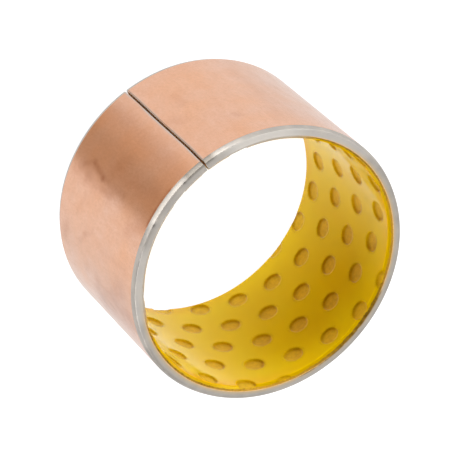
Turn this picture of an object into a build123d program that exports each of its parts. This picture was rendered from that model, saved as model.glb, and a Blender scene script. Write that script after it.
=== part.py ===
from build123d import *
import math
import os

# A wrapped plain bush: a steel strip, faced with sintered bronze and lined with acetal resin, is
# rolled into a tube, so that its two cut edges meet in a straight butt joint along the front, at
# -Y. The three layers are bonded for good. +Z is the bore's axis, and the origin is the centre of
# the lower end. Lengths are in millimetres and angles in degrees.

# The bush
bore_diameter = 50.0
bush_length = 34.0

# The bonded strip, from the bore outwards
lining_thickness = 0.55
bronze_thickness = 0.30
steel_thickness = 1.65

# The turned ends: a shallow chamfer outside, and one of 45 degrees at the bore, which leaves a
# narrow ring of bronze on the end face
outer_chamfer_length = 1.0
outer_chamfer_angle = 20.0
bronze_land = 0.10

# The butt joint, and the rounding that shearing and rolling leave along its outer edges
joint_gap = 0.30
joint_edge_radius = 0.30

# The grease indents, pressed into the strip while it is flat. Each row climbs a little along the
# strip, and the columns lean over it. Arcs run anticlockwise round the bore from the joint.
indent_diameter = 3.6
indent_depth = 0.40
row_pitch = 7.67
row_angle = 14.7
column_pitch = 8.82
column_angle = 73.8
first_indent_arc = 4.7
first_indent_height = 2.3
least_indent_reach = 0.15

# Sizes that follow from those
bore_radius = bore_diameter / 2
bronze_radius = bore_radius + lining_thickness
steel_radius = bronze_radius + bronze_thickness
outer_radius = steel_radius + steel_thickness
outer_chamfer_depth = outer_chamfer_length * math.tan(math.radians(outer_chamfer_angle))
bore_mouth_radius = steel_radius - bronze_land
inner_chamfer = bore_mouth_radius - bore_radius
strip_length = 2 * math.pi * bore_radius
cut_clearance = 0.2

os.makedirs("parts", exist_ok=True)


def layer_section(*lower_end):
    """One layer's section on the XZ plane, from its (radius, height) corners at the lower end.

    The corners run from the bore outwards, and the upper end has the same ones upside down.
    """
    upper_end = [(radius, bush_length - height) for radius, height in reversed(lower_end)]
    with BuildSketch(Plane.XZ) as section:
        with BuildLine():
            Polyline(*lower_end, *upper_end, close=True)
        make_face()
    return section.sketch


def joint_slot():
    """The gap between the strip's two cut edges, seen from above and drawn past the whole wall."""
    with BuildSketch() as slot:
        with Locations((0, -(bore_radius + outer_radius) / 2)):
            Rectangle(joint_gap, 2 * (outer_radius - bore_radius))
    return slot.sketch


def bore_plane(arc, height):
    """A plane that touches the bore at this arc from the joint and height, facing outwards."""
    turn = arc / bore_radius - math.pi / 2
    outwards = Vector(math.cos(turn), math.sin(turn), 0)
    return Plane(
        origin=outwards * bore_radius + Vector(0, 0, height),
        x_dir=(0, 0, 1),
        z_dir=outwards,
    )


def indent_planes():
    """The planes of the indents, on a slanting grid that fills the strip between its cut edges.

    An indent that would cross the joint is left out, and one that crosses a turned end stays if
    it reaches far enough along the straight wall to be seen.
    """
    across = Vector(row_pitch, 0).rotate(Axis.Z, row_angle)
    along = Vector(column_pitch, 0).rotate(Axis.Z, column_angle)
    radius = indent_diameter / 2
    joint_margin = radius + joint_gap
    end_margin = inner_chamfer + least_indent_reach - radius
    furthest = math.ceil((strip_length + bush_length) / min(row_pitch, column_pitch))
    planes = []
    for row in range(-furthest, furthest):
        for place in range(-furthest, furthest):
            spot = Vector(first_indent_arc, first_indent_height) + along * row + across * place
            in_strip = joint_margin < spot.X < strip_length - joint_margin
            if in_strip and end_margin < spot.Y < bush_length - end_margin:
                planes.append(bore_plane(spot.X, spot.Y))
    return planes


# The steel backing: low-carbon strip that carries the load, turned to a shallow chamfer outside
with BuildPart() as steel_backing:
    face_edge = (outer_radius - outer_chamfer_depth, 0)
    chamfer_edge = (outer_radius, outer_chamfer_length)
    revolve(layer_section((steel_radius, 0), face_edge, chamfer_edge), axis=Axis.Z)
    extrude(joint_slot(), amount=bush_length, mode=Mode.SUBTRACT)
    joint_edges = steel_backing.edges().filter_by(Axis.Z).sort_by(Axis.Y)[:2]
    fillet(joint_edges, joint_edge_radius)
steel_backing.part.label = "steel_backing"
export_step(steel_backing.part, "parts/steel_backing.step")

# The bronze interlayer: powder sintered onto the steel, which keys the lining to it
with BuildPart() as bronze_interlayer:
    chamfer_edge = (bronze_radius, bore_mouth_radius - bronze_radius)
    mouth_edge = (bore_mouth_radius, 0)
    revolve(layer_section(chamfer_edge, mouth_edge, (steel_radius, 0)), axis=Axis.Z)
    extrude(joint_slot(), amount=bush_length, mode=Mode.SUBTRACT)
bronze_interlayer.part.label = "bronze_interlayer"
export_step(bronze_interlayer.part, "parts/bronze_interlayer.step")

# The lining: acetal resin rolled into the bronze, with an indent wherever it holds grease
with BuildPart() as acetal_lining:
    wall_edge = (bore_radius, inner_chamfer)
    chamfer_edge = (bronze_radius, bore_mouth_radius - bronze_radius)
    revolve(layer_section(wall_edge, chamfer_edge), axis=Axis.Z)
    extrude(joint_slot(), amount=bush_length, mode=Mode.SUBTRACT)
    with Locations(*[plane.offset(indent_depth) for plane in indent_planes()]):
        Cylinder(
            radius=indent_diameter / 2,
            height=indent_depth + cut_clearance,
            align=(Align.CENTER, Align.CENTER, Align.MAX),
            mode=Mode.SUBTRACT,
        )
acetal_lining.part.label = "acetal_lining"
export_step(acetal_lining.part, "parts/acetal_lining.step")
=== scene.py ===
import math

import bpy
import numpy as np
from mathutils import Matrix, Vector


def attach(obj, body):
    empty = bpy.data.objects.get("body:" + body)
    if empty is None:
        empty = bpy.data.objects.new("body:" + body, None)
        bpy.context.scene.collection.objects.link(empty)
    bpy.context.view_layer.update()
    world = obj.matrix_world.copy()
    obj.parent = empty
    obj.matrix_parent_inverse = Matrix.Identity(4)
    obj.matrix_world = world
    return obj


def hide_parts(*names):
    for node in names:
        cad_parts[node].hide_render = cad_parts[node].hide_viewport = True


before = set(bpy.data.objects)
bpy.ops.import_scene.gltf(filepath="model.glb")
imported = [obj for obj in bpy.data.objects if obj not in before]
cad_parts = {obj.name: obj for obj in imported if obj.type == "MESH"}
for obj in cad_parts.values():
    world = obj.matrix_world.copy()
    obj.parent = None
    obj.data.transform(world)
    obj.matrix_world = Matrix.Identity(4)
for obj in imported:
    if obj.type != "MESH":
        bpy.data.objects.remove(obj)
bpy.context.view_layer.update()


# ---------------------------------------------------------------------------------------------
# The steel backing: a strip of low-carbon steel with a flash of copper on its outer face, rolled
# into a tube until its two sheared edges meet. Both ends are turned after that, so the end faces
# and the shallow chamfers beside them are bare steel.

# Sizes in mm. Places on the strip are (arc, height): the way round from the middle of the joint,
# and the height above the lower end.
bush_length = 34.0
steel_radius = 25.85
outer_radius = 27.5
chamfer_length = 1.0
chamfer_depth = chamfer_length * math.tan(math.radians(20))
corner_ease = 0.11
half_gap = 0.15  # half the open width of the joint
soft_edge = 0.30  # how far its two sheared edges are rounded
crisp_edge = 0.16


def smooth(low, high, value):
    """0 below low, 1 above high and the curve 3t^2 - 2t^3 between them. With low over high it
    falls instead."""
    t = np.clip((value - low) / (high - low), 0, 1)
    return t * t * (3 - 2 * t)


def rounded(corners, size):
    """A section line with each inner corner eased: three points of a parabola that leaves and
    joins the two straight runs at the given distance from the corner."""
    line = [corners[0]]
    for before, corner, after in zip(corners[:-2], corners[1:-1], corners[2:]):
        corner = np.array(corner)
        ends = [corner + size * (np.array(p) - corner) / np.hypot(*(np.array(p) - corner))
                for p in (before, after)]
        line += [ends[0], (ends[0] + 2 * corner + ends[1]) / 4, ends[1]]
    return line + [corners[-1]]


def rolled_tube(name, turns, radii, heights, finishes, node):
    """The rolled strip as a closed tube with a slit. radii[i, j] and heights[i, j] are point j of
    section i, in mm, in order round the section, and turns gives the angle about the axis of each
    section or point. Quads join each section to the next, and one face closes the tube at each
    side of the slit. finishes[j] is the material number of the quads between points j and j + 1."""
    sections, points = radii.shape
    places = np.stack([radii * np.cos(turns), radii * np.sin(turns), heights], -1) / 1000
    number = np.arange(sections * points).reshape(sections, points)
    after = np.roll(number, -1, axis=1)
    quads = np.stack([number[:-1], after[:-1], after[1:], number[1:]], -1).reshape(-1, 4)
    ends = [number[0][::-1].tolist(), number[-1].tolist()]
    mesh = bpy.data.meshes.new(name)
    mesh.from_pydata(places.reshape(-1, 3), [], quads.tolist() + ends)
    mesh.polygons.foreach_set(
        "material_index", np.append(np.tile(finishes, sections - 1), [max(finishes)] * 2))
    mesh.polygons.foreach_set("use_smooth", np.append(np.ones(len(quads), bool), [False] * 2))
    mesh.update()
    piece = bpy.data.objects.new(name, mesh)
    bpy.context.collection.objects.link(piece)
    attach(piece, "root")
    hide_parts(node)
    return piece


def paint(piece, name, values):
    """Stores one number per vertex for the material to read."""
    piece.data.attributes.new(name, "FLOAT", "POINT").data.foreach_set(
        "value", np.asarray(values, np.float32).ravel())


# The sections stand every 0.25 mm round the outside, closer beside the joint, where each sheared
# edge drops away from the outside in a quarter circle. The edge at the start of the arc is crisper.
half_round = math.pi * outer_radius
from_edge = np.concatenate([
    soft_edge * (1 - np.cos(np.radians(np.linspace(0, 90, 8)))), np.arange(0.45, 2, 0.15),
    np.arange(2.1, half_round - half_gap, 0.25)])
arcs = np.concatenate([half_gap + from_edge, (2 * half_round - half_gap - from_edge)[::-1]])
from_edge = np.minimum(arcs, 2 * half_round - arcs) - half_gap
rounding = np.where(arcs < half_round, crisp_edge, soft_edge)
drop = rounding - np.sqrt(rounding ** 2 - np.clip(rounding - from_edge, 0, None) ** 2)

# Section points in order: out over the upper end, down the outside, and in under the lower end.
end_face = [(radius, bush_length) for radius in (steel_radius, 26.0, 26.2, 26.5)]
chamfer = rounded([
    (26.9, bush_length), (outer_radius - chamfer_depth, bush_length),
    (outer_radius, bush_length - chamfer_length), (outer_radius, 32.8)], corner_ease)[:-1]
upper_end = [*end_face, *chamfer]
lower_end = [(radius, bush_length - height) for radius, height in upper_end[::-1]]
wall_rows = np.concatenate([[32.7, 32.3, 31.9], np.arange(31.5, 2.3, -0.5), [2.1, 1.7, 1.3]])
line = np.array([*upper_end, *((outer_radius, height) for height in wall_rows), *lower_end])
steel_radii = line[None, :, 0] - drop[:, None] * smooth(26.5, 27.0, line[:, 0])
steel_heights = np.repeat(line[None, :, 1], len(arcs), 0)

# The joint isn't quite straight: below its upper end it stands 0.15 mm further back along the arc,
# and near its lower end another 0.07 mm, and the strip within about 3 mm of it goes with it.
lean = (0.15 * smooth(33, 27, steel_heights) + 0.07 * smooth(14, 6, steel_heights)) * np.exp(
    -(from_edge / 3) ** 2)[:, None]
steel_turns = -math.pi / 2 + (arcs[:, None] - lean) / outer_radius
is_outside = np.minimum(line[:, 0], np.roll(line[:, 0], -1)) > outer_radius - 0.01
copper, turned, sheared = 0, 1, 2
steel = rolled_tube(
    "copper_flashed_steel_back", steel_turns, steel_radii, steel_heights,
    np.where(is_outside, copper, turned), "steel_backing")
steel.data.polygons[-1].material_index = steel.data.polygons[-2].material_index = sheared
steel.data.set_sharp_from_angle(angle=math.radians(35))


def smear(arc, height, start, end, width):
    """How near a point of the strip lies to the line from start to end, both (arc, height):
    1 on the line, and the bell curve exp(-(distance / width)^2) beside it."""
    run = np.subtract(end, start)
    share = np.clip(((arc - start[0]) * run[0] + (height - start[1]) * run[1]) / (run @ run), 0, 1)
    away = np.hypot(arc - start[0] - share * run[0], height - start[1] - share * run[1])
    return np.exp(-(away / width) ** 2)


# Brown stains on the copper, as (start, end, width, strength), and the light grey along the joint:
# wear, and a painted highlight on its rounded edges.
stains = [
    ((14.7, 13.2), (13.5, 8.2), 0.7, 0.44), ((13.5, 8.2), (15.7, 4.4), 0.7, 0.34),
    ((14.3, 22.0), (14.6, 13.2), 0.7, 0.26), ((16.1, 18.0), (17.0, 8.0), 0.9, 0.26),
    ((15.8, 8.0), (17.0, 3.0), 1.4, 0.2), ((7.5, 32.9), (15.2, 32.8), 0.4, 0.7),
    ((9.4, 17.2), (12.0, 14.5), 1.8, 0.12), ((10.5, 30.0), (12.0, 16.0), 1.7, 0.16),
    ((16.4, 32.0), (18.4, 27.5), 1.5, 0.26), ((3.2, 32.0), (3.6, 3.0), 1.5, 0.1),
    ((24.6, 15.6), (26.3, 12.6), 0.7, 0.16), ((26.3, 12.6), (28.8, 10.3), 0.7, 0.2),
    ((25.4, 30.0), (26.2, 19.0), 0.9, 0.12), ((28.2, 4.4), (31.0, 3.0), 1.5, 0.26),
    ((32.6, 17.5), (35.5, 16.5), 1.5, 0.14), ((32.6, 13.4), (34.4, 12.0), 1.2, 0.14),
    ((30.5, 29.0), (36.0, 19.0), 2.8, 0.28), ((36.0, 31.0), (39.0, 17.0), 3.2, 0.5),
    ((20.0, 9.8), (24.0, 8.4), 1.0, 0.1), ((-5.6, 14.6), (-5.8, 10.8), 1.0, 0.14),
    ((-11.7, 25.6), (-11.3, 24.8), 0.7, 0.2), ((-3.4, 19.5), (-2.2, 18.0), 1.3, 0.14),
    ((-17.8, 29.5), (-20.4, 17.0), 1.3, 0.1), ((-20.4, 17.0), (-19.6, 7.0), 1.5, 0.08),
    ((-25.6, 13.4), (-25.0, 11.8), 1.0, 0.12)]
arc_map = np.repeat(arcs[:, None], len(line), 1)
signed_arc = np.where(arc_map > half_round, arc_map - 2 * half_round, arc_map)
paint(steel, "tarnish", sum(
    strength * smear(signed_arc, steel_heights, start, end, width)
    for start, end, width, strength in stains))
# Along both edges of the joint: wear to the steel, and a painted highlight on the rounded edges.
paint(steel, "wear_and_highlight", np.exp(-(from_edge / 0.35) ** 2)[:, None] * np.ones_like(arc_map))

# Marks on the turned end: a painted highlight, brighter over parts of its face and its edge, a
# painted shade, darker over parts of the chamfer and the outer face, two small dark pits in the edge
# between them, bronze smeared over the inner edge, and the brown of burnt resin there. They are
# placed by the angle from the joint, in degrees.
turn = np.degrees(signed_arc / outer_radius)
on_top = steel_heights > 30
pit_radius = 27.02


def span(low, high, soft):
    """1 where the angle from the joint lies between two angles, fading over some degrees."""
    return smooth(low - soft, low, turn) * smooth(high + soft, high, turn)


# A painted highlight: parts of the face and its edge made brighter, by angle.
paint(steel, "painted_highlight", on_top * smooth(27.2, 27.05, steel_radii) * (
    span(-33, -17, 14) + 0.4 * span(-72, -44, 9) + 0.4 * span(44, 70, 7)))
# A painted shade: parts of the chamfer and the outer face made darker, by angle.
paint(steel, "painted_end_shade", smooth(26.5, 27.1, steel_radii) * on_top * (
    span(-3, 7, 3.5) + 0.3 * span(8, 27, 1.5) + 0.5 * span(33, 38, 4) + 0.6 * span(88, 107, 6)
    + 0.25 * span(113, 150, 6) + 0.22 * span(-180, -85, 6)))
pits = sum(np.exp(-((turn - at) / wide) ** 2) for at, wide in ((10.2, 0.6), (30.2, 0.8)))
paint(steel, "pits", on_top * pits * np.exp(-((steel_radii - pit_radius) / 0.13) ** 2))
smeared = smooth(26.45, 26.0, steel_radii) * np.interp(np.abs(turn), [55, 75, 150], [0, 0.6, 1])
paint(steel, "smeared", on_top * smeared)
paint(steel, "char", on_top * smooth(26.08, 25.88, steel_radii) * (
    span(-180, -145, 2) + span(167, 180, 4)))


def srgb(code):
    """Linear red, green, blue and alpha of an sRGB hex colour: the standard curve, undone."""
    share = np.array([int(code[i:i + 2], 16) for i in (0, 2, 4)]) / 255
    linear = np.where(share <= 0.04045, share / 12.92, ((share + 0.055) / 1.055) ** 2.4)
    return (*linear.tolist(), 1.0)


def feed(tree, node, inputs):
    """Fills a node's inputs, each with a value or with the output that it reads. An input goes by
    its name, or by its number where several of a node's inputs share one name."""
    for socket, value in dict(inputs).items():
        if isinstance(value, bpy.types.NodeSocket):
            tree.links.new(value, node.inputs[socket])
        else:
            node.inputs[socket].default_value = value


def add(tree, kind, inputs=(), out=0, **settings):
    """Adds a node with its settings, fills its inputs and returns the output asked for."""
    node = tree.nodes.new(kind)
    for name, value in settings.items():
        setattr(node, name, value)
    feed(tree, node, inputs)
    return node.outputs[out]


def new_finish(piece, name, patterns=(), painted=()):
    """A new material on a piece: its tree, its shader and what its nodes can read, by name. "place"
    is the piece's own coordinates in metres. A pattern is soft noise from 0 to 1, given as (size of
    its patches in mm, how many times longer they are along the axis, detail, the noise that counts
    as 0, the noise that counts as 1). A painted number is read from the vertices."""
    finish = bpy.data.materials.new(name)
    finish.use_nodes = True
    piece.data.materials.append(finish)
    tree = finish.node_tree
    reads = {"place": add(tree, "ShaderNodeTexCoord", out="Object")}
    for pattern, (size, longer, detail, low, high) in dict(patterns).items():
        drawn = add(tree, "ShaderNodeVectorMath", {
            0: reads["place"], 1: (1, 1, longer)}, operation="DIVIDE")
        cloud = add(tree, "ShaderNodeTexNoise", {
            "Vector": drawn, "Scale": 1000 / size, "Detail": detail})
        reads[pattern] = add(tree, "ShaderNodeMapRange", {
            "Value": cloud, "From Min": low, "From Max": high})
    for mark in painted:
        reads[mark] = add(tree, "ShaderNodeAttribute", out="Fac", attribute_name=mark)
    return tree, tree.nodes["Principled BSDF"], reads


def layered(tree, reads, base, *layers):
    """A base colour with others laid over it in order. Each layer is a colour, then the names of
    what it follows and plain numbers, whose product says how much of it covers what is under it."""
    colour = srgb(base)
    for over, first, *factors in layers:
        cover = reads[first]
        for factor in factors:
            cover = add(tree, "ShaderNodeMath", {
                0: cover, 1: reads.get(factor, factor)}, operation="MULTIPLY")
        over = srgb(over) if isinstance(over, str) else over
        colour = add(tree, "ShaderNodeMix", {0: cover, 6: colour, 7: over}, out=2, data_type="RGBA")
    return colour


# Electroplated copper flash on cold-rolled strip: a pale pink copper metal, cloudy over some 8 mm,
# with a fine grain drawn along the axis, freckles drawn coarser than the real ones so that they
# show, brown where it has tarnished, and light grey along the joint, where it is scuffed to the
# steel and where a painted highlight stands for the light on the rounded edges. The thin clear film
# of preserving oil over it gives the soft second highlight.
tree, shader, reads = new_finish(steel, "electroplated_copper_flash", {
    "clouds": (7.69, 1, 2, 0.3, 0.7), "grain": (1.43, 2.5, 3, 0.3, 0.7),
    "freckles": (0.455, 1.6, 3, 0.3, 0.7), "blotches": (2.38, 1.8, 3, 0.1, 0.55),
    "scuffs": (2.0, 4, 2, 0.35, 0.55), "dents": (6.25, 1.5, 2, 0, 1)}, ("tarnish", "wear_and_highlight"))
feed(tree, shader, {
    "Base Color": layered(
        tree, reads, "F6BA94", ("F3C2A8", "clouds"), ("E6A478", "grain", 0.3),
        ("DDA27C", "freckles", 0.35), ("B46A3C", "tarnish", "blotches"), ("CFC6C0", "wear_and_highlight", "scuffs")),
    "Metallic": 1.0,
    "Roughness": add(tree, "ShaderNodeMapRange", {
        "Value": reads["grain"], "To Min": 0.17, "To Max": 0.24}),
    "Normal": add(tree, "ShaderNodeBump", {
        "Height": reads["dents"], "Strength": 0.02, "Distance": 0.001}),
    "Coat Weight": 0.4, "Coat Roughness": 0.25})

# Low-carbon steel faced in a lathe: a grey metal with fine rings round the axis, drawn here about
# 0.17 mm apart because real ones would be too fine to see, and slightly uneven in tone, with the
# painted highlight and painted shade of the end laid over it.
tree, shader, reads = new_finish(steel, "turned_low_carbon_steel", {
    "patches": (2.63, 1, 3, 0.3, 0.7), "scorches": (1.11, 1, 3, 0.2, 0.55)},
    ("painted_highlight", "smeared", "painted_end_shade", "pits", "char"))
ring_size = 0.1667
flat = add(tree, "ShaderNodeVectorMath", {0: reads["place"], 1: (1, 1, 0)}, operation="MULTIPLY")
radius = add(tree, "ShaderNodeVectorMath", {0: flat}, out="Value", operation="LENGTH")
reads["rings"] = add(tree, "ShaderNodeTexNoise", {
    "W": radius, "Scale": 1000 / ring_size, "Detail": 2.0}, noise_dimensions="1D")
feed(tree, shader, {
    "Base Color": layered(
        tree, reads, "BCB6B0", ("D0C8BE", "patches"), ("A39D96", "rings", 0.3),
        ("F2ECE4", "painted_highlight", 0.7), ("DCC090", "smeared", 0.7), ("8C857C", "painted_end_shade", 0.9),
        ("3C3630", "pits"), ("5A4010", "char", "scorches")),
    "Metallic": 1.0,
    "Roughness": add(tree, "ShaderNodeMapRange", {
        "Value": reads["rings"], "To Min": 0.3, "To Max": 0.42})})

# The sheared edges inside the joint: torn steel with brown oxide in it, dull and dark.
tree, shader, reads = new_finish(steel, "sheared_steel_edge", {
    "tears": (1.67, 3, 3, 0.3, 0.7)})
feed(tree, shader, {
    "Base Color": layered(tree, reads, "C49C68", ("E6C08C", "tears")),
    "Metallic": 0.4, "Roughness": 0.6})


# ---------------------------------------------------------------------------------------------
# The sintered bed: tin bronze powder fused onto the inside of the steel strip before it is rolled,
# as a thin porous layer that the lining grips. The turning of the bore's mouth cuts through it and
# bares it as a narrow line.

bore_radius = 25.0
bronze_radius = 25.55
mouth_radius = 25.75
chamfer_foot = bush_length - (mouth_radius - bore_radius)
arc_length = 170  # a little more than the way round the bed
rng = np.random.default_rng(34)


def wander(length, spacing, amount):
    """A function of the arc that drifts up and down: random heights at even spacing, joined by a
    curve whose slope is nil at each of them."""
    knots = rng.uniform(-amount, amount, int(length / spacing) + 3)

    def at(arc):
        place = np.clip(np.asarray(arc) / spacing, 0, len(knots) - 1.001)
        left = place.astype(int)
        share = smooth(0, 1, place - left)
        return knots[left] * (1 - share) + knots[left + 1] * share
    return at


def up_chamfer(radius, proud=0.0):
    """Height of the upper bore chamfer, which climbs at 45 degrees, at a radius, plus a lift."""
    return chamfer_foot + radius - bore_radius + proud


# Round the bed, a section every 0.1 mm. The cut drags its inner edge a little way over the resin,
# unevenly, down to this radius.
bronze_turns = -math.pi / 2 + np.arange(
    half_gap, 2 * math.pi * bronze_radius - half_gap, 0.1) / bronze_radius
bronze_turns = np.append(bronze_turns, 1.5 * math.pi - half_gap / bronze_radius)[:, None]
bronze_arcs = (bronze_turns[:, 0] + math.pi / 2) * bronze_radius
fine_rag = wander(arc_length, 0.22, 0.04)(bronze_arcs)
rag = np.minimum(25.42 + fine_rag + wander(arc_length, 0.7, 0.04)(bronze_arcs), bronze_radius)

# Section points in order: up the upper half from the bore to the steel, after the same below it.
step_radius = mouth_radius - 0.05
upper_half = [
    (bronze_radius, up_chamfer(bronze_radius, -0.02)), (rag, up_chamfer(rag, -0.01)),
    (rag, up_chamfer(rag, 0.02)), (step_radius, up_chamfer(step_radius)),
    (mouth_radius, bush_length), (steel_radius, bush_length)]
lower_half = [(radius, bush_length - height) for radius, height in upper_half[::-1]]
bronze_line = [(radius + 0 * rag, height + 0 * rag) for radius, height in lower_half + upper_half]
bronze_radii, bronze_heights = (np.stack(column, 1) for column in zip(*bronze_line))
bronze = rolled_tube(
    "sintered_bronze_bed", bronze_turns, bronze_radii, bronze_heights,
    np.zeros(len(bronze_line), int), "bronze_interlayer")
bronze.data.set_sharp_from_angle(angle=math.radians(30))

# Painted by the angle from the joint: how dark the cut through the bed is, how far the cut's look
# reaches over the flat land beside the steel, and where grey metal lies over the bed.
turn = np.degrees(bronze_arcs / bronze_radius)
turn = np.where(turn > 180, turn - 360, turn)
darkness = [
    (-180, 0.4), (-172, 0.7), (-148, 0.7), (-140, 0.25), (-130, 0.1), (-110, 0.1), (-100, 0.4),
    (-70, 0.6), (-50, 0.6), (-35, 0), (60, 0), (80, 0.5), (95, 0.75), (120, 0.75), (132, 0.45),
    (145, 0.15), (170, 0.1), (180, 0.4)]
dark = np.interp(turn, *zip(*darkness)) * (1 + wander(arc_length, 0.35, 0.3)(bronze_arcs))
land = np.interp(turn, [-180, -148, -143, 165, 180], [1, 1, 0, 0, 0.6])[:, None]
in_cut = np.where(bronze_radii < step_radius + 0.01, 1, land)
paint(bronze, "cut", in_cut)
# How dark the cut through the bed is, by the angle from the joint.
paint(bronze, "cut_darkness", in_cut * np.clip(dark, 0, 1)[:, None])
# Grey metal over the bed beside the joint, by the angle from it.
grey_metal_beside_joint = smooth(-52, -36, turn) * smooth(78, 64, turn)
paint(bronze, "grey_metal_beside_joint", grey_metal_beside_joint[:, None] * np.ones_like(bronze_radii))

# Tin bronze powder sintered to the steel: a pale golden metal, rough and porous, deeper in colour
# on the cut, and darker there in specks, more at some angles round the bush than at others. The
# grains are drawn 0.4 mm across, because the real powder, of about 0.1 mm, would not show.
tree, shader, reads = new_finish(bronze, "sintered_tin_bronze", {
    "powder": (0.4, 1, 2, 0.3, 0.7), "holes": (0.714, 1, 3, -0.3, 0.7)},
    ("cut", "cut_darkness", "grey_metal_beside_joint"))
cut_colour = layered(tree, reads, "C49834", ("D6AC44", "powder"))
feed(tree, shader, {
    "Base Color": layered(
        tree, reads, "DCB67C", ("EFD4A8", "powder"), (cut_colour, "cut"),
        ("664A0A", "cut_darkness", "holes"), ("C6C0B8", "grey_metal_beside_joint")),
    "Metallic": 1.0, "Roughness": 0.7,
    "Normal": add(tree, "ShaderNodeBump", {
        "Height": reads["powder"], "Strength": 0.3, "Distance": 0.00005})})


# ---------------------------------------------------------------------------------------------
# The bore lining: yellow acetal resin rolled into the bronze, with round grease pockets pressed
# into the flat strip in slanting rows before it is rolled up. The 45 degree chamfer turned at each
# end of the bore cuts through the pockets in its way.

strip_length = 2 * math.pi * bore_radius
pocket_radius = 1.8
pocket_depth = 0.40
foot_radius = 1.62
lip_height = 0.03
lip_radius = pocket_radius + 0.38
row_step = 7.67 * np.array([math.cos(math.radians(14.7)), math.sin(math.radians(14.7))])
column_step = 8.82 * np.array([math.cos(math.radians(73.8)), math.sin(math.radians(73.8))])
first_pocket = np.array([4.7, 2.3])
rows, columns = np.meshgrid(np.arange(-6, 30), np.arange(-6, 8))
pockets = first_pocket + rows[..., None] * row_step + columns[..., None] * column_step
pockets = pockets.reshape(-1, 2)
pockets = pockets[((pockets > -3) & (pockets < (strip_length + 3, bush_length + 3))).all(1)]


def nearest_pocket(arc, height):
    """For each point of the strip, the way to it from the nearest pocket's centre, (arc, height),
    and its distance."""
    best = np.full(arc.shape, np.inf)
    way = np.zeros(arc.shape + (2,))
    for centre in pockets:
        step = np.stack([arc - centre[0], height - centre[1]], -1)
        away = np.hypot(step[..., 0], step[..., 1])
        closer = away < best
        best = np.where(closer, away, best)
        way[closer] = step[closer]
    return way, best


def pocket_sink(away):
    """Depth under the bore at a distance from a pocket's centre: a slightly dished floor, a steep
    wall that rises to the mouth in an S curve, and a low raised lip round it."""
    wall = smooth(foot_radius + 0.36, foot_radius, away)
    dish = 1 - 0.12 * (away / pocket_radius) ** 2
    lip = lip_height * np.exp(-((away - lip_radius) / 0.14) ** 2)
    return pocket_depth * wall * dish - lip


# A plain grid of the strip, every 0.25 mm. Near a pocket's wall its points are drawn towards the
# wall's foot and its mouth: each distance from the pocket's centre becomes the one under it. The
# outermost rows and columns stay where they are, so that the joint and the chamfers are straight.
lining_top = up_chamfer(bronze_radius)
lower_foot = bush_length - chamfer_foot
bore_rows = np.concatenate([
    np.linspace(bush_length - lining_top, lower_foot, 5)[:-1],
    np.linspace(lower_foot, chamfer_foot, 131), np.linspace(chamfer_foot, lining_top, 5)[1:]])
strip_columns = np.linspace(half_gap, strip_length - half_gap, 629)
arc, height = np.meshgrid(strip_columns, bore_rows, indexing="ij")
way, away = nearest_pocket(arc, height)
drawn = np.interp(
    away, [0, 1.42, 1.66, 1.92, 2.16, 3.0, 9],
    [0, 1.61, 1.65, 1.92, 1.97, 3.0, 9])
pull = way * (drawn / np.maximum(away, 1e-9) - 1)[..., None]
free_height = smooth(0, 0.8, np.minimum(height - lower_foot, chamfer_foot - height))
free_arc = smooth(0, 0.8, np.minimum(arc - strip_columns[0], strip_columns[-1] - arc))
arc = arc + pull[..., 0] * free_arc
height = height + pull[..., 1] * free_height
way, away = nearest_pocket(arc, height)

# Where a pocket and the chamfer meet, the deeper of the two is the surface. Each section closes
# behind with two points on the bronze.
chamfer_sink = np.maximum(np.maximum(lower_foot - height, height - chamfer_foot), 0)
depth = pocket_sink(away)
inner_turns = -math.pi / 2 + arc / bore_radius
back_turns = np.repeat(-math.pi / 2 + strip_columns[:, None] / bore_radius, 2, 1)
back_heights = np.tile([lining_top, bush_length - lining_top], (len(back_turns), 1))
lining_radii = np.concatenate([
    bore_radius + np.maximum(depth, chamfer_sink), np.full(back_turns.shape, bronze_radius)], 1)
lining = rolled_tube(
    "acetal_lining_with_pockets", np.concatenate([inner_turns, back_turns], 1), lining_radii,
    np.concatenate([height, back_heights], 1), np.zeros(lining_radii.shape[1], int),
    "acetal_lining")
lining.data.set_sharp_from_angle(angle=math.radians(70))

# Painted on the bore: the pockets' walls and floors, by depth, the walls darker as a painted shade,
# a further painted shade on the lower side of each pocket, the turned chamfer, a painted shade of
# deeper colour inside the mouths, and grey metal over the chamfer beside the joint.
lower_side = smooth(0.55, -0.75, way[..., 1] / np.maximum(away, 1e-9))
from_mouth = np.minimum(height, bush_length - height)
turn = np.degrees(arc / bore_radius)
turn = np.where(turn > 180, turn - 360, turn)
# A painted shade: how much deeper the colour inside the mouths is, by the angle from the joint.
mouth_shade_by_angle = np.interp(turn, [-180, -140, -95, 115, 165, 180], [0, 0.15, 0.8, 1, 0.2, 0])
bare = np.zeros(back_turns.shape)
for name, values in (
        # The walls' darker colour is a painted shade.
        ("wall", smooth(0.03, 0.15, depth)),
        ("floor", smooth(0.26, 0.35, depth)),
        # A painted shade on the lower side of each pocket.
        ("shade", lower_side * smooth(0.7, 1.75, away) * smooth(2.06, 1.9, away)),
        ("turned", smooth(0.0, 0.06, chamfer_sink - depth)),
        ("mouth_shade", smooth(4.5, 1.2, from_mouth) * mouth_shade_by_angle),
        # Grey metal over the chamfer beside the joint.
        ("grey_metal_beside_joint", smooth(-52, -36, turn) * smooth(78, 64, turn) * (chamfer_sink > 0))):
    paint(lining, name, np.concatenate([values, bare], 1))

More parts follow.
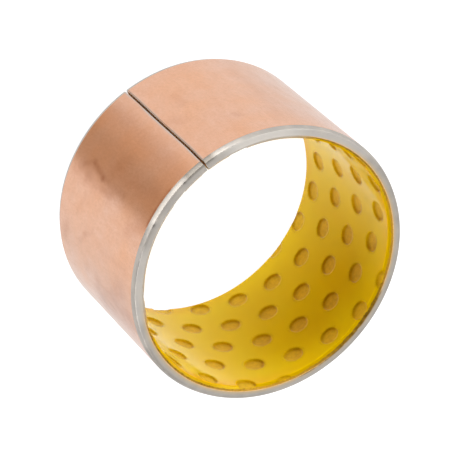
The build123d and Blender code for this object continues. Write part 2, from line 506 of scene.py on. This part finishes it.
# Rolled yellow acetal copolymer, glossy and very slightly wavy. It is thin and duller over the
# bottom of the pockets, where the bronze shows through it in specks drawn coarser than its grains,
# and their walls are painted a darker brown as a painted shade, with more painted shade on the lower
# side of each pocket. The turned chamfer is a deeper yellow, with grey metal over it beside the
# joint, and the bore is painted a little deeper in colour near its mouths, as a painted shade.
tree, shader, reads = new_finish(lining, "moulded_yellow_acetal", {
    "flow": (6.67, 2, 2, 0.3, 0.7), "specks": (0.667, 1, 3, 0.3, 0.7)},
    ("wall", "floor", "shade", "turned", "mouth_shade", "grey_metal_beside_joint"))
floor_colour = layered(tree, reads, "DAB00E", ("EEC422", "specks"))
dulled = add(tree, "ShaderNodeMath", {0: reads["wall"], 1: 0.6}, operation="MULTIPLY")
dulled = add(tree, "ShaderNodeMath", {0: reads["grey_metal_beside_joint"], 1: dulled}, operation="MAXIMUM")
gloss_tint = add(tree, "ShaderNodeMix", {
    0: reads["grey_metal_beside_joint"], 6: (1.0, 0.8, 0.0, 1.0), 7: (1.0, 1.0, 1.0, 1.0)}, out=2, data_type="RGBA")
feed(tree, shader, {
    "Base Color": layered(
        # Painted shade: a deeper gold inside the mouths.
        tree, reads, "F0CD00", ("F0D204", "flow"), ("F0B600", "mouth_shade"), ("D2A800", "turned"),
        # Painted shade: darker walls, and the darker lower side of each pocket.
        ("CC9C04", "wall"), (floor_colour, "floor"), ("9A6800", "shade", 0.4),
        ("D0CAC4", "grey_metal_beside_joint")),
    "Metallic": reads["grey_metal_beside_joint"],
    "Roughness": add(tree, "ShaderNodeMapRange", {"Value": dulled, "To Min": 0.1, "To Max": 0.6}),
    "Specular Tint": gloss_tint, "IOR": 1.4,
    "Normal": add(tree, "ShaderNodeBump", {
        "Height": reads["flow"], "Strength": 0.05, "Distance": 0.0005})})


# ---------------------------------------------------------------------------------------------
# The studio: a plain pale floor, which only the camera sees, and a soft white surround.

floor_mesh = bpy.data.meshes.new("floor")
floor_mesh.from_pydata([(-3, -3, 0), (3, -3, 0), (3, 3, 0), (-3, 3, 0)], [], [(0, 1, 2, 3)])
floor = bpy.data.objects.new("floor", floor_mesh)
bpy.context.collection.objects.link(floor)
floor.visible_glossy = False
floor.visible_diffuse = False
tree, shader = new_finish(floor, "pale_paper")[:2]
feed(tree, shader, {
    "Base Color": (0.2, 0.2, 0.2, 1), "Roughness": 1.0, "Specular IOR Level": 0.0,
    "Emission Color": (1, 1, 1, 1), "Emission Strength": 1.0})

# The floor inside the bush as the glossy bore reflects it: white near the wall, which throws light
# down onto it, and dark in the shade at the middle. Only reflections see it.
round_turns = np.linspace(0, 2 * math.pi, 97)[:-1]
rim = 0.0249 * np.stack([np.cos(round_turns), np.sin(round_turns), 0 * round_turns], 1)
disc_mesh = bpy.data.meshes.new("floor_in_reflections")
disc_mesh.from_pydata(rim + (0, 0, 0.0001), [], [tuple(range(len(rim)))])
disc = bpy.data.objects.new("floor_in_reflections", disc_mesh)
bpy.context.collection.objects.link(disc)
disc.visible_camera = False
disc.visible_diffuse = False
disc.visible_shadow = False
tree, shader, reads = new_finish(disc, "shaded_paper")
radius = add(tree, "ShaderNodeVectorMath", {0: reads["place"]}, out="Value", operation="LENGTH")
feed(tree, shader, {
    "Base Color": (0, 0, 0, 1), "Specular IOR Level": 0.0, "Emission Color": (1, 1, 1, 1),
    "Emission Strength": add(tree, "ShaderNodeMapRange", {
        "Value": radius, "From Min": 0.010, "From Max": 0.024, "To Min": 0.1, "To Max": 0.95})})


def toward(azimuth, elevation):
    """The unit vector at an azimuth from +X and an elevation, in degrees."""
    a, e = math.radians(azimuth), math.radians(elevation)
    return Vector((math.cos(a) * math.cos(e), math.sin(a) * math.cos(e), math.sin(e)))


# Soft rectangular panels on the surround, each over the ones before it: the azimuth and elevation
# of its middle, how far it reaches to each side and up and down as seen from the bush, the width
# of its soft edge, all in degrees, and its light in red, green and blue.
panels = [
    (0, 90, 60, 60, 30, (0.75, 0.75, 0.75)),  # the ceiling, dimmer than the rest
    (95, -52, 50, 20, 20, (0.87, 0.87, 0.87)),  # the floor behind the bush
    (189, 40, 6, 26.5, 5, (7.0, 7.0, 7.0)),  # a tall strip light on the -X side
    (-4, 47, 26, 13, 5, (16.0, 16.0, 16.0)),  # the main light, on the +X side
    (-59, 41, 63, 33, 9, (0.0, 0.0, 0.0)),  # the dark of the room in front
    (-79, 1, 40, 7, 8, (3.4, 3.4, 3.4)),  # a low strip light for the chamfer and the bore's far side
    (-70, -56, 4, 6, 14, (0.65, 0.53, 0.41)),  # two dim patches of the floor in front, which make
    (-51, -56, 6, 6, 8, (0.51, 0.41, 0.31))]  # dark bands in the copper
studio = bpy.data.worlds.new("studio")
bpy.context.scene.world = studio
studio.use_nodes = True
tree = studio.node_tree
direction = add(tree, "ShaderNodeTexCoord", out="Generated")
light = (0.94, 0.94, 0.94, 1)
for azimuth, elevation, wide, high, blur, glow in panels:
    middle = toward(azimuth, elevation)
    across = toward(azimuth + 90, 0)
    ahead = add(tree, "ShaderNodeVectorMath", {
        0: direction, 1: middle}, out="Value", operation="DOT_PRODUCT")
    cover = 1.0
    for axis, reach in ((across, wide), (middle.cross(across), high)):
        side = add(tree, "ShaderNodeVectorMath", {
            0: direction, 1: axis}, out="Value", operation="DOT_PRODUCT")
        angle = add(tree, "ShaderNodeMath", {0: side, 1: ahead}, operation="ARCTAN2")
        angle = add(tree, "ShaderNodeMath", {0: angle}, operation="ABSOLUTE")
        inside = add(tree, "ShaderNodeMapRange", {
            "Value": angle, "From Min": math.radians(reach),
            "From Max": math.radians(reach + blur), "To Min": 1.0, "To Max": 0.0},
            interpolation_type="SMOOTHSTEP")
        cover = add(tree, "ShaderNodeMath", {0: cover, 1: inside}, operation="MULTIPLY")
    light = add(tree, "ShaderNodeMix", {0: cover, 6: light, 7: (*glow, 1)}, out=2, data_type="RGBA")

# The camera sees plain white behind the bush instead of the panels.
camera_ray = add(tree, "ShaderNodeLightPath", out="Is Camera Ray")
backdrop = add(tree, "ShaderNodeMix", {
    0: camera_ray, 6: light, 7: (1, 1, 1, 1)}, out=2, data_type="RGBA")
feed(tree, tree.nodes["Background"], {"Color": backdrop, "Strength": 1.0})
bpy.context.scene.view_settings.view_transform = "Standard"


# ---------------------------------------------------------------------------------------------
# The camera, turned about its own axis so that the joint runs down to the right. Lengths in mm.

camera_aim = Vector((0.17, 0.23, 17.15))
camera_distance = 520.8
outwards = toward(-78.95, 52.42)
camera = bpy.data.objects.new("camera", bpy.data.cameras.new("camera"))
camera.data.lens = 218.7
camera.data.sensor_width = 36.0
camera.data.clip_start = 0.01
camera.matrix_world = (
    Matrix.Translation((camera_aim + outwards * camera_distance) / 1000)
    @ outwards.to_track_quat("Z", "Y").to_matrix().to_4x4()
    @ Matrix.Rotation(math.radians(133.08), 4, "Z"))
bpy.context.collection.objects.link(camera)
bpy.context.scene.camera = camera
